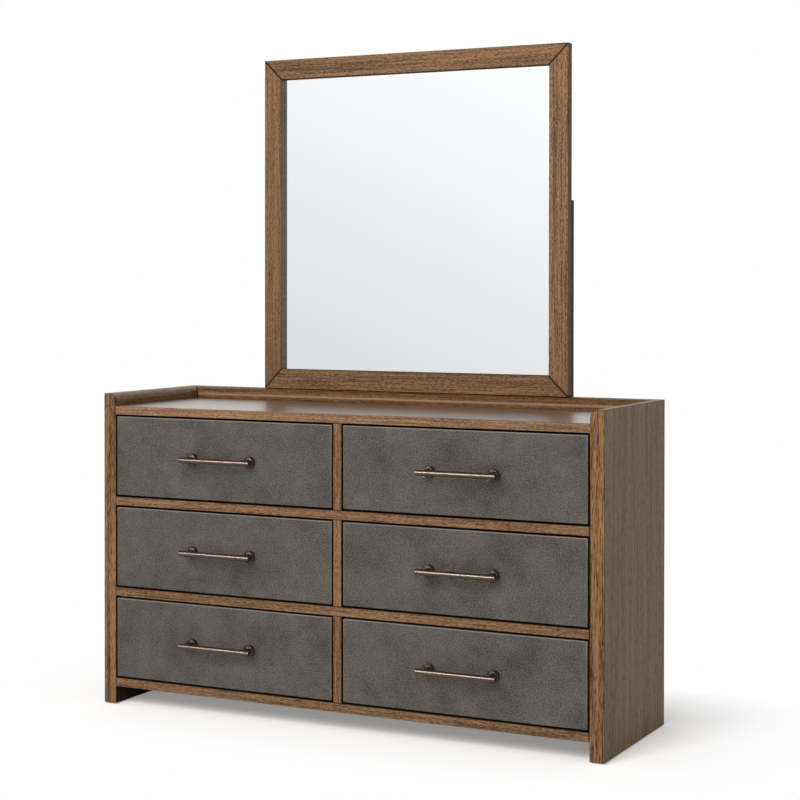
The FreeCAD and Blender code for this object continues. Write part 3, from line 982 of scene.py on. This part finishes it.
# A painted highlight along the fronts' edges: stronger near the top, and none along the foot.
edge_highlight_full, edge_highlight_reach = 0.0014, 0.0034
edge_highlight_usual, edge_highlight_top, edge_highlight_top_reach = 0.25, 0.42, 0.0525
edge_highlight_foot, edge_highlight_foot_fade = 0.004, 1 / 150
leather, wire = start_finish("leather")
place = wire.place()
clouds = place.noise(scale=10.0, detail=4.0, roughness=0.6) - 0.5
patches = place.noise(scale=34.0, detail=3.0, roughness=0.6) - 0.5
dust = place.noise(scale=280.0, detail=2.0, roughness=0.6)
pebbles = wire.node("TexVoronoi", {"feature": "DISTANCE_TO_EDGE"}, {"Vector": place, "Scale": 620.0})
shade = (clouds * 1.4 + patches * 0.5 + (dust - 0.5) * 4.0 + 0.5).clamped()
highlight_above_foot = wire.attribute("to_low").part("Z").past(edge_highlight_foot, edge_highlight_foot_fade)
highlight_near_top = wire.attribute("to_high").part("Z").short_of(edge_highlight_top_reach, edge_highlight_top_reach)
edge_highlight = near_edge(wire, edge_highlight_full, edge_highlight_reach) * highlight_above_foot * (edge_highlight_usual + highlight_near_top * edge_highlight_top)
end_finish(
    wire,
    Base_Color=edge_highlight.towards(shade.towards(hide_dark, hide_pale), hide_highlight),
    Roughness=0.58 + (dust - 0.5) * 0.2,
    Normal=((pebbles * 6.0).clamped() * 0.5 + dust * 0.6).bump(distance=0.00016, strength=0.55),
)
for name in drawer_names:
    low, high = box_of(f"{name}_drawer_front")
    drawn_in = np.array((front_play, 0, front_play))
    front_skin = straight_board(low + drawn_in, high - drawn_in, 1, front_edge, front_ease)
    front = make_piece(f"{name}_front", [front_skin], leather)
    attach(front, f"{name}_drawer")
    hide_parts(f"{name}_drawer_front")


# Pulls: a round bar of lacquered bronze seated in two turned posts, each with a thick chamfered rosette
# against the leather. Fine turned lines mark the bar's ends and where it meets the posts. Screws from
# inside the drawer hold the posts.

bar_radius = 0.008
bar_ease = 0.0014
post_radius = 0.011
post_spacing = 0.192
rosette_radius = 0.017
rosette_thick = 0.012
rosette_chamfer = 0.0015
line_depth = 0.0004
line_width = 0.0009
end_line = 0.008


def bronze_finish(name, dark, bright, roughness):
    """Lacquered bronze, with a cloudy patina that dulls it and brushed lines that vary its tone."""
    material, wire = start_finish(name)
    place = wire.place()
    patina = place.noise(scale=60.0, detail=3.0)
    brushed = place.stretch((40.0, 1200.0, 1200.0)).noise()
    end_finish(
        wire,
        Base_Color=(patina * 0.7 + brushed * 0.3).towards(dark, bright),
        Metallic=1.0,
        Roughness=roughness + patina * 0.04,
        Coat_Weight=0.6,
        Coat_Roughness=0.22,
    )
    return material


bar_bronze = bronze_finish(
    "satin_bronze", dark=(0.074, 0.051, 0.035, 1), bright=(0.115, 0.083, 0.059, 1), roughness=0.37,
)
# The posts and rosettes take a darker copy of the bar's bronze: partly patina, partly painted shade
# beside the bar.
post_bronze = bronze_finish(
    "dark_bronze", dark=(0.054, 0.037, 0.026, 1), bright=(0.088, 0.063, 0.046, 1), roughness=0.32,
)


def pull_bar(left, right, axis_y, axis_z):
    """Skin of the bar: a turned rod with rounded ends and a fine groove at each turned line."""
    half_line = line_width / 2
    inner_line = (right - left - post_spacing) / 2 + post_radius + end_line
    corners = [(bar_radius * 0.5, left), (bar_radius, left)]
    radii = [bar_ease]
    for line in (left + end_line, left + inner_line, right - inner_line, right - end_line):
        corners += [
            (bar_radius, line - half_line), (bar_radius - line_depth, line),
            (bar_radius, line + half_line),
        ]
        radii += [line_depth / 2] * 3
    corners += [(bar_radius, right), (bar_radius * 0.5, right)]
    radii += [bar_ease]
    return turned(rounded_path(np.array(corners), np.array(radii)), 0, (0.0, axis_y, axis_z))


def pull_post(x, face_y, axis_y, axis_z):
    """Skin of a post: turned from the bar's axis back to the rosette, its end hollowed to seat the bar.

    The hollow is a half cylinder: at a height z from the bar's axis the end lies back by the square root
    of the bar's radius squared less z squared, and by nothing beyond the bar's radius.
    """
    seat = [(post_radius * share, axis_y) for share in np.linspace(0.05, 0.96, 10)]
    rosette_front = face_y - rosette_thick
    rim_round, foot_round, chamfer_round = 0.0004, 0.0012, 0.0003
    round_steps = 4
    shape = rounded_path(
        np.array((
            seat[-1], (post_radius, axis_y), (post_radius, rosette_front),
            (rosette_radius - rosette_chamfer, rosette_front),
            (rosette_radius, rosette_front + rosette_chamfer),
            (rosette_radius, face_y), (rosette_radius * 0.5, face_y),
        )),
        np.array((rim_round, foot_round, chamfer_round, chamfer_round, rim_round)),
        round_steps,
    )
    rings, run, along = turned(np.concatenate((seat[:-1], shape)), 1, (x, 0.0, axis_z), around=64)
    hollowed = rings[: len(seat) + round_steps + 1]
    height = hollowed[..., 2] - axis_z
    hollowed[..., 1] += np.sqrt(np.clip(bar_radius**2 - height**2, 0, None))
    return rings, run, along


bronze_pieces = bpy.data.collections.new("bronze_pieces")
for name in drawer_names:
    pull_low, pull_high = box_of(f"{name}_pull")
    face_y = box_of(f"{name}_drawer_front")[0][1]
    middle = (pull_low + pull_high) / 2
    axis_y, axis_z = pull_low[1] + bar_radius, middle[2]
    posts = (middle[0] - post_spacing / 2, middle[0] + post_spacing / 2)
    bar_skin = pull_bar(pull_low[0], pull_high[0], axis_y, axis_z)
    bar = make_piece(f"{name}_pull_bar", [bar_skin], bar_bronze)
    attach(bar, f"{name}_drawer")
    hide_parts(f"{name}_pull")
    bronze_pieces.objects.link(bar)
    post_skins = [pull_post(x, face_y, axis_y, axis_z) for x in posts]
    pair = make_piece(f"{name}_pull_posts", post_skins, post_bronze)
    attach(pair, f"{name}_drawer")
    bronze_pieces.objects.link(pair)
    seat_y = pull_high[1] - screw_head_height
    screws = [pan_screw((x, seat_y, axis_z), seat_y - face_y) for x in posts]
    pull_screws = make_piece(f"{name}_pull_screws", screws, steel)
    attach(pull_screws, f"{name}_drawer")


# Studio: a pale floor that runs out to white, an even white room, and one large soft lamp high at the
# left front. A strip lamp at the left lights the bronze alone, and draws the streak along the bars.

floor_reach = 14.0
floor_white = (0.95, 0.95, 0.95, 1)
veil_white = (1.0, 0.985, 0.97, 1)
plain_white = (1, 1, 1, 1)
floor_glow = 0.23
shaded_glow = 0.25
shaded_reach = 0.1
mirrored_floor = 0.65
fade_start, fade_reach = 0.03, 1 / 2.4


def rays(wire):
    """1 for rays straight from the camera, and 1 for these or any that metal and glass send on."""
    seen, mirrored_ray, through_ray = (
        wire.node("LightPath", output=f"Is {kind} Ray") for kind in ("Camera", "Glossy", "Transmission")
    )
    return seen, (seen + mirrored_ray + through_ray).clamped()


floor_mesh = bpy.data.meshes.new("studio_floor")
floor_mesh.from_pydata(
    [(-floor_reach, -floor_reach, 0), (floor_reach, -floor_reach, 0),
     (floor_reach, floor_reach, 0), (-floor_reach, floor_reach, 0)],
    [], [(0, 1, 2, 3)],
)
floor_finish, wire = start_finish("studio_floor")
seen, shown = rays(wire)
past_case = wire.place().vector("ABSOLUTE").vector("SUBTRACT", (cad_high[0], cad_high[1], 0))
outside = past_case.vector("MAXIMUM").vector("LENGTH", output="Value")
veil_level = shaded_glow + outside.past(0.0, shaded_reach) * (floor_glow - shaded_glow)
paint = wire.node("BsdfDiffuse", {}, {"Color": floor_white})
veil = wire.node("Emission", {}, {"Color": veil_white, "Strength": seen * veil_level})
near_floor = wire.node("AddShader", {}, {0: paint, 1: veil})
far_level = mirrored_floor + seen * (1 - mirrored_floor)
far_floor = wire.node("Emission", {}, {"Color": plain_white, "Strength": far_level})
fade = outside.past(fade_start, fade_reach) * shown
floor_look = wire.node("MixShader", {}, {0: fade, 1: near_floor, 2: far_floor})
wire.node("OutputMaterial", {}, {"Surface": floor_look})
floor_mesh.materials.append(floor_finish)
floor = bpy.data.objects.new("studio_floor", floor_mesh)
bpy.context.scene.collection.objects.link(floor)

room_level = 0.42
wall_level, wall_rise, wall_lean, wall_depth = 1.18, 1.4, 0.69, 0.4
wall_dimmest, wall_brightest = 0.6, 1.08
side_reach, side_loss = 1 / 2.2, 0.4
ceiling_start, ceiling_reach, ceiling_tilt, ceiling_loss = 0.30, 0.4, 0.5, 0.7
room = bpy.data.worlds.new("studio_room")
room.use_nodes = True
room.node_tree.nodes.clear()
wire = Wire(room.node_tree)
seen, shown = rays(wire)
way = wire.node("TexCoord", output="Generated")
sideways, upwards = way.part("X"), way.part("Z")
backwards = way.part("Y").clamped()
slope = wall_level + upwards * wall_rise + sideways * wall_lean + backwards * wall_depth
dim_side = 1 - sideways.past(0.0, side_reach) * side_loss
dim_ceiling = 1 - (upwards - backwards * ceiling_tilt).past(ceiling_start, ceiling_reach) * ceiling_loss
bright = slope.least(wall_brightest).most(wall_dimmest) * dim_side * dim_ceiling
level = room_level + shown * (seen + (1 - seen) * bright - room_level)
room_look = wire.node("Background", {}, {"Color": plain_white, "Strength": level})
wire.node("OutputWorld", {}, {"Surface": room_look})
bpy.context.scene.world = room

lamp_target = np.array((0.0, 0.0, 0.8))


def studio_lamp(name, place, width, height, power):
    """A flat lamp at a place, turned so that it shines on the case."""
    light = bpy.data.lights.new(name, "AREA")
    light.shape = "RECTANGLE"
    light.size = width
    light.size_y = height
    light.energy = power
    lamp = bpy.data.objects.new(name, light)
    ahead = lamp_target - place
    lamp.location = place
    lamp.rotation_euler = (
        math.atan2(math.hypot(ahead[0], ahead[1]), -ahead[2]), 0, math.atan2(-ahead[0], ahead[1]),
    )
    bpy.context.scene.collection.objects.link(lamp)
    return lamp


softbox = studio_lamp("softbox", place=(-0.6, -6.8, 5.4), width=4.5, height=4.5, power=560.0)
softbox.visible_glossy = False
strip = studio_lamp("strip", place=(-2.1, -4.8, 2.86), width=2.8, height=1.1, power=310.0)
strip.light_linking.receiver_collection = bronze_pieces

camera_data = bpy.data.cameras.new("camera")
camera_data.sensor_width = 36.0
camera_data.lens = 83.1
camera_data.shift_y = -0.120
camera = bpy.data.objects.new("camera", camera_data)
camera.location = (2.4571, -4.7268, 1.2484)
camera.rotation_euler = (math.radians(89.35), math.radians(-0.043), math.radians(26.70))
bpy.context.scene.collection.objects.link(camera)
bpy.context.scene.camera = camera
bpy.context.scene.view_settings.view_transform = "Standard"
